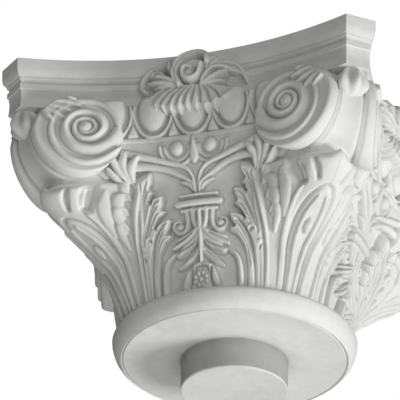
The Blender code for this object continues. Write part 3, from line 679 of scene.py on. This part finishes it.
def make_cap_leaves():
    """Under each abacus corner a curled leaf tip, rounded over in lobes."""
    turn = np.linspace(0, 2 * math.pi, KNOB_AROUND, endpoint=False)
    loops = []
    for rise in np.linspace(-math.pi / 2, math.pi / 2, KNOB_RINGS + 2)[1:-1]:
        lobes = 1 + 0.17 * np.cos(KNOB_LOBES * turn) * math.cos(rise) - 0.10 * math.sin(3 * rise)
        radius = KNOB_RADIUS * math.cos(rise) * lobes
        across = radius * np.sin(turn)
        out = KNOB_OUT + radius * np.cos(turn) + 0.02 * math.sin(rise)
        z = np.full_like(turn, KNOB_UP + KNOB_RADIUS * math.sin(rise))
        loops.append(np.stack([(out + across) / math.sqrt(2), (across - out) / math.sqrt(2), z], -1))
    faces = closed_faces(len(loops), KNOB_AROUND)
    for corner in range(4):
        piece(f"cap_leaf_{corner}", turned(np.array(loops), corner), faces)


# The abacus from its top down: set back, then height
ABACUS = (
    (0.000, 2.290), (0.000, 2.200), (0.006, 2.160), (0.022, 2.135), (0.034, 2.130),
    (0.034, 2.112), (0.052, 2.095), (0.054, 2.074), (0.040, 2.066), (0.038, 2.020),
    (0.050, 2.012), (0.058, 1.960), (0.056, 1.900), (0.050, 1.845))


def abacus_loop(back, z):
    """One level of the abacus: four hollow sides and four cut corners."""
    reach = (SIDE + HALF) / math.sqrt(2) - back
    a = HOLLOW / SIDE**2
    end = (math.sqrt(1 - 4 * a * (HALF - HOLLOW - back - math.sqrt(2) * reach)) - 1) / (2 * a)
    x = np.linspace(-end, end, 2 * ABACUS_STEPS + 1)
    side = np.stack([x, -(HALF - HOLLOW - back + a * x * x), np.full_like(x, z)], -1)
    return np.concatenate([turned(side, k) for k in range(4)])


def stack_of_loops(name, loops, sharp):
    """A closed piece from level loops, bottom to top, with sharp edges where it turns."""
    loops = np.asarray(loops)
    made = piece(name, loops, closed_faces(*loops.shape[:2]))
    made.data.set_sharp_from_angle(angle=math.radians(sharp))
    return made


def make_abacus():
    stack_of_loops("abacus", [abacus_loop(back, z) for back, z in reversed(ABACUS)], 30)


# Boss, flat underside, groove and ring moulding, from the boss's end up: radius, then height
FOOT = (
    (0.452, -0.2930), (0.457, -0.288), (0.457, -0.03), (0.465, -0.008), (0.49, 0.0), (0.950, 0.0),
    (0.956, 0.010), (0.966, 0.010), (0.973, 0.0), (0.985, 0.01), (1.008, 0.035), (1.026, 0.065),
    (1.038, 0.10), (1.046, 0.135), (1.048, 0.160), (1.040, 0.178), (1.025, 0.188), (0.99, 0.190),
    (0.96, 0.200), (0.92, 0.200))


def make_foot():
    """Boss, flat underside and ring moulding, turned on one axis."""
    turns = np.linspace(0, 2 * math.pi, FOOT_SIDES, endpoint=False)
    loops = [[(r * math.cos(t), r * math.sin(t), z) for t in turns] for r, z in FOOT]
    stack_of_loops("ring_and_boss", loops, 40)


# The flower, on the middle of an abacus side: the tips of the husk below it, its leaves (root,
# bend and tip, half width, and how far out they stand at root and tip), its curls and grooves
HUSK_TIPS = (
    (-0.395, 1.825), (-0.300, 1.752), (-0.233, 1.715), (-0.160, 1.692), (-0.085, 1.688),
    (-0.012, 1.696), (0.062, 1.690), (0.150, 1.676), (0.235, 1.690), (0.320, 1.745))
FLOWER_LEAVES = (
    ((-0.10, 1.935), (-0.24, 1.985), (-0.385, 2.020), 0.030, 0.14, 0.12),
    ((-0.09, 1.950), (-0.22, 2.030), (-0.355, 2.072), 0.030, 0.15, 0.13),
    ((-0.10, 1.925), (-0.20, 1.945), (-0.325, 1.955), 0.026, 0.13, 0.11),
    ((-0.12, 2.030), (-0.15, 2.130), (-0.185, 2.215), 0.062, 0.13, 0.14),
    ((0.10, 1.925), (0.15, 2.010), (0.200, 2.075), 0.030, 0.14, 0.14),
    ((0.11, 1.920), (0.21, 1.985), (0.315, 2.045), 0.030, 0.14, 0.13),
    ((0.12, 1.915), (0.21, 1.940), (0.305, 1.955), 0.026, 0.13, 0.11),
    ((0.16, 2.080), (0.21, 2.150), (0.258, 2.200), 0.056, 0.13, 0.14),
    ((0.17, 2.070), (0.29, 2.085), (0.400, 2.035), 0.032, 0.13, 0.12),
    ((0.22, 2.120), (0.37, 2.125), (0.470, 2.040), 0.036, 0.12, 0.11),
    ((0.36, 2.085), (0.46, 2.020), (0.490, 1.940), 0.030, 0.11, 0.10))
FLOWER_CURLS = (
    (((-0.250, 2.150), (-0.355, 2.142), (-0.430, 2.075), (-0.440, 1.995), (-0.400, 1.940)), 0.036, 0.11),
    (((-0.240, 2.085), (-0.310, 2.105), (-0.360, 2.080)), 0.022, 0.11),
    (((-0.080, 1.935), (-0.125, 2.040), (-0.105, 2.140), (-0.035, 2.215), (0.070, 2.245),
      (0.150, 2.205), (0.165, 2.130)), 0.044, 0.17),
    (((0.120, 2.110), (0.085, 2.005), (0.010, 1.972), (-0.048, 2.025), (-0.030, 2.090), (0.035, 2.082)),
     0.030, 0.18))
FLOWER_GROOVES = (
    ((-0.110, 2.040), (-0.150, 2.130), (-0.180, 2.205)), ((0.170, 2.085), (0.215, 2.145), (0.255, 2.190)),
    ((-0.100, 1.960), (-0.125, 2.050), (-0.085, 2.150), (-0.010, 2.215), (0.080, 2.225)),
    ((-0.260, 2.140), (-0.350, 2.125), (-0.410, 2.060), (-0.415, 1.99)),
    ((0.240, 2.110), (0.370, 2.105), (0.450, 2.030)), ((0.080, 2.015), (0.012, 1.995), (-0.025, 2.030)))


def carve_flower(sheet):
    """Curl, leaves to both sides, and the husk that hangs over the eggs."""
    tips = np.array(HUSK_TIPS)
    share = np.linspace(0, 1, len(tips))
    roots = np.stack([-0.11 + 0.27 * share, 1.945 - 0.03 * share], -1)
    notches = (tips[1:] + tips[:-1]) / 2 + (0, 0.042)
    edge = [(-0.44, 1.86)]
    for tip, notch in zip(tips, notches):
        edge += [tuple(tip), tuple(notch)]
    edge.append(tuple(tips[-1]))
    edge += [(0.40, 1.84), (0.34, 1.895), (0.10, 1.935), (-0.10, 1.955), (-0.28, 1.925)]
    sheet.plate(edge, 0.014, lambda x, z: 0.150 + 0.120 * smooth((1.95 - z) / 0.22))
    for notch, low, high in zip(notches, roots, roots[1:]):
        root = (low + high) / 2
        bend = 0.5 * (root + notch) + (0.10 * (root[0] - 0.03), 0.02)
        sheet.cut([root, bend, notch + (0, 0.01)], [0.012, 0.020, 0.020], [0.020, 0.045, 0.050])
    sheet.dome((0.02, 2.085), (0.19, 0.17), 0.05, lift=0.08, crisp=0.4)
    for root, bend, tip, width, low, high in FLOWER_LEAVES:
        sheet.finger(root, bend, tip, width, 0.040, (low, high))
    for points, width, lift in FLOWER_CURLS:
        sheet.roll(points, [0.7 * width, width, width, 0.8 * width], 0.045, lift=lift, crisp=0.3)
    for points in FLOWER_GROOVES:
        sheet.cut(points, [0.008, 0.014, 0.008], 0.026)
    sheet.dome((0.006, 2.035), (0.038, 0.038), 0.045, lift=0.16)


# The sheet that the flower is carved on, and the wall that it stands on
FLOWER_HALF = 0.56
FLOWER_LOW = 1.64
FLOWER_HIGH = 2.285
FLOWER_OUT = 1.19
FLOWER_DEPTH = 1.10


def make_flowers():
    """On each side of the abacus a flower on a cushion, closed back into the solid."""
    across, up = FLOWER_DRAWING
    sheet = Sheet(np.linspace(-FLOWER_HALF, FLOWER_HALF, across), np.linspace(FLOWER_LOW, FLOWER_HIGH, up))
    carve_flower(sheet)
    sheet.soften(1)
    x, z = np.meshgrid(sheet.x, sheet.z)
    cushion = smooth(1.1 - (x / 0.46) ** 2 - ((z - 2.03) / 0.30) ** 2)
    out = FLOWER_OUT + HOLLOW * (x / SIDE) ** 2 + 0.10 * cushion + sheet.height
    front = np.stack([x, -out, z], -1)
    rows, cols = front.shape[:2]
    number, faces = sheet_faces(rows, cols)
    carved = len(faces)
    border = np.concatenate([number[0, :-1], number[:-1, -1], number[-1, :0:-1], number[:0:-1, 0]])
    back = front.reshape(-1, 3)[border] * (1, 0, 1) + (0, -FLOWER_DEPTH, 0)
    first = rows * cols
    count = len(border)
    faces += [(first + i, first + (i + 1) % count, int(border[(i + 1) % count]), int(border[i]))
              for i in range(count)]
    faces.append(tuple(range(first + count - 1, first - 1, -1)))
    points = np.concatenate([front.reshape(-1, 3), back])
    for side in range(4):
        piece(f"flower_{side}", turned(points, side), faces, flat=range(carved, len(faces)))


WHITE = (1, 1, 1, 1)


def make_plaster():
    """Matt cast plaster, off-white: stains, specks, painted shade in its hollows, a darker boss, tooth,
    pits.
    """
    plaster = bpy.data.materials.new("plaster")
    plaster.use_nodes = True
    tree = plaster.node_tree
    nodes, links = tree.nodes, tree.links
    shader = nodes["Principled BSDF"]

    def noise(scale, detail, roughness):
        node = nodes.new("ShaderNodeTexNoise")
        node.inputs["Scale"].default_value = scale
        node.inputs["Detail"].default_value = detail
        node.inputs["Roughness"].default_value = roughness
        links.new(place.outputs["Object"], node.inputs["Vector"])
        return node

    def ramp(source, stops):
        node = nodes.new("ShaderNodeValToRGB")
        node.color_ramp.elements[0].position, node.color_ramp.elements[0].color = stops[0]
        node.color_ramp.elements[1].position, node.color_ramp.elements[1].color = stops[1]
        links.new(source, node.inputs["Fac"])
        return node

    def multiply(a, b, factor):
        node = nodes.new("ShaderNodeMix")
        node.data_type = "RGBA"
        node.blend_type = "MULTIPLY"
        node.inputs["Factor"].default_value = factor
        links.new(a, node.inputs["A"])
        links.new(b, node.inputs["B"])
        return node.outputs["Result"]

    place = nodes.new("ShaderNodeTexCoord")
    stains = ramp(noise(9.0, 5.0, 0.55).outputs["Fac"],
                  ((0.30, (0.74, 0.74, 0.725, 1)), (0.70, (0.84, 0.84, 0.83, 1))))
    mottle = ramp(noise(70.0, 4.0, 0.65).outputs["Fac"], ((0.30, (0.93, 0.93, 0.925, 1)), (0.70, WHITE)))
    specks = nodes.new("ShaderNodeTexVoronoi")
    specks.inputs["Scale"].default_value = 190.0
    links.new(place.outputs["Object"], specks.inputs["Vector"])
    speck = ramp(specks.outputs["Distance"], ((0.04, (0.80, 0.79, 0.77, 1)), (0.10, WHITE)))
    # Painted shade: the hollows of the carving are coloured darker, down to about two thirds, where shade
    # gathers in them
    shape = nodes.new("ShaderNodeNewGeometry")
    painted_hollow_shade = ramp(shape.outputs["Pointiness"], ((0.44, (0.66, 0.66, 0.65, 1)), (0.505, WHITE)))
    colour = multiply(stains.outputs["Color"], mottle.outputs["Color"], 1.0)
    colour = multiply(colour, speck.outputs["Color"], 0.6)
    colour = multiply(colour, painted_hollow_shade.outputs["Color"], 0.9)
    # The boss's side is coloured about half as bright as the rest, from just above its end up to the flat
    # underside
    split = nodes.new("ShaderNodeSeparateXYZ")
    links.new(place.outputs["Object"], split.inputs["Vector"])
    boss_side_height = nodes.new("ShaderNodeMapRange")
    boss_side_height.inputs["From Min"].default_value = 0.002
    boss_side_height.inputs["From Max"].default_value = UNDERSIDE - 0.001
    links.new(split.outputs["Z"], boss_side_height.inputs["Value"])
    boss = ramp(boss_side_height.outputs["Result"], ((0.0, WHITE), (0.03, (0.54, 0.54, 0.54, 1))))
    for position, grey in ((0.95, 0.50), (1.0, 1.0)):
        boss.color_ramp.elements.new(position).color = (grey, grey, grey, 1)
    colour = multiply(colour, boss.outputs["Color"], 1.0)
    links.new(colour, shader.inputs["Base Color"])

    wear = nodes.new("ShaderNodeMapRange")
    wear.inputs["To Min"].default_value = 0.74
    wear.inputs["To Max"].default_value = 0.92
    links.new(noise(30.0, 4.0, 0.6).outputs["Fac"], wear.inputs["Value"])
    links.new(wear.outputs["Result"], shader.inputs["Roughness"])
    shader.inputs["Specular IOR Level"].default_value = 0.35

    pits = nodes.new("ShaderNodeBump")
    pits.inputs["Strength"].default_value = 0.35
    pits.inputs["Distance"].default_value = 0.0006
    links.new(speck.outputs["Color"], pits.inputs["Height"])
    tooth = nodes.new("ShaderNodeBump")
    tooth.inputs["Strength"].default_value = 0.40
    tooth.inputs["Distance"].default_value = 0.0005
    links.new(noise(420.0, 5.0, 0.6).outputs["Fac"], tooth.inputs["Height"])
    links.new(pits.outputs["Normal"], tooth.inputs["Normal"])
    waves = nodes.new("ShaderNodeBump")
    waves.inputs["Strength"].default_value = 0.35
    waves.inputs["Distance"].default_value = 0.002
    links.new(noise(38.0, 3.0, 0.5).outputs["Fac"], waves.inputs["Height"])
    links.new(tooth.outputs["Normal"], waves.inputs["Normal"])
    links.new(waves.outputs["Normal"], shader.inputs["Normal"])
    return plaster


# Where the camera stands: turned round the axis, raised, and rolled a little
AZIMUTH = math.radians(17.2)
ELEVATION = math.radians(-27.9)
ROLL = math.radians(0.79)
# So long a lens that the view is nearly without perspective
LENS = 1200.0
# The picture is 400 pixels wide, and a module covers 116.4 of them
VIEW_WIDTH = 400 / 116.4 * MODULE
LEFT_OF_AXIS = -0.3145 * MODULE
AIM_HEIGHT = 1.5492 * MODULE + UNDERSIDE
# The floor lies below the camera, which looks up
FLOOR = -8.6
FLOOR_HALF = 20


def make_camera():
    """The camera fitted to the photo; returns its directions before the roll."""
    back = Vector((math.sin(AZIMUTH) * math.cos(ELEVATION), -math.cos(AZIMUTH) * math.cos(ELEVATION),
                   math.sin(ELEVATION)))
    right = Vector((math.cos(AZIMUTH), math.sin(AZIMUTH), 0))
    up = back.cross(right)
    target = right * LEFT_OF_AXIS + Vector((0, 0, AIM_HEIGHT))
    across = right * math.cos(ROLL) + up * math.sin(ROLL)
    upward = back.cross(across)
    data = bpy.data.cameras.new("camera")
    data.lens = LENS
    camera = bpy.data.objects.new("camera", data)
    bpy.context.scene.collection.objects.link(camera)
    distance = VIEW_WIDTH * LENS / data.sensor_width
    place = target + back * distance
    camera.matrix_world = Matrix((
        (across.x, upward.x, back.x, place.x),
        (across.y, upward.y, back.y, place.y),
        (across.z, upward.z, back.z, place.z),
        (0, 0, 0, 1)))
    data.clip_end = 100
    bpy.context.scene.camera = camera
    return right, up, back


def make_light(name, direction, strength, angle):
    """A sun that shines from the given direction, with its width in degrees."""
    data = bpy.data.lights.new(name, "SUN")
    data.energy = strength
    data.angle = math.radians(angle)
    light = bpy.data.objects.new(name, data)
    bpy.context.scene.collection.objects.link(light)
    light.rotation_mode = "QUATERNION"
    light.rotation_quaternion = Vector(direction).to_track_quat("Z", "Y")


def make_studio():
    """Camera, lights, a white background over a dim one that lights, and the floor."""
    right, up, back = make_camera()
    make_light("key", right * 0.85 - up * 0.35 + back * 0.45, 2.1, 25)
    make_light("fill", up * 0.3 + back + right * 0.2, 0.80, 50)
    make_light("under", back * 0.5 - up * 0.9, 0.85, 60)
    bpy.context.scene.view_settings.view_transform = "Standard"
    world = bpy.data.worlds.new("studio")
    world.use_nodes = True
    bpy.context.scene.world = world
    tree = world.node_tree
    soft = tree.nodes["Background"]
    soft.inputs["Color"].default_value = WHITE
    soft.inputs["Strength"].default_value = 0.14
    seen = tree.nodes.new("ShaderNodeBackground")
    seen.inputs["Color"].default_value = WHITE
    seen.inputs["Strength"].default_value = 1.0
    path = tree.nodes.new("ShaderNodeLightPath")
    mix = tree.nodes.new("ShaderNodeMixShader")
    tree.links.new(path.outputs["Is Camera Ray"], mix.inputs[0])
    tree.links.new(soft.outputs[0], mix.inputs[1])
    tree.links.new(seen.outputs[0], mix.inputs[2])
    tree.links.new(mix.outputs[0], tree.nodes["World Output"].inputs["Surface"])

    mesh = bpy.data.meshes.new("floor")
    corners = [(x * FLOOR_HALF, y * FLOOR_HALF, FLOOR) for x, y in ((-1, -1), (1, -1), (1, 1), (-1, 1))]
    mesh.from_pydata(corners, [], [(0, 1, 2, 3)])
    floor = bpy.data.objects.new("floor", mesh)
    bpy.context.scene.collection.objects.link(floor)
    pale = bpy.data.materials.new("pale_floor")
    pale.use_nodes = True
    shader = pale.node_tree.nodes["Principled BSDF"]
    shader.inputs["Base Color"].default_value = (0.9, 0.9, 0.9, 1)
    shader.inputs["Roughness"].default_value = 0.9
    mesh.materials.append(pale)
    floor.visible_shadow = False
    floor.visible_diffuse = False


PLASTER = make_plaster()
make_bell()
make_volutes()
make_cap_leaves()
make_abacus()
make_foot()
make_flowers()
make_studio()
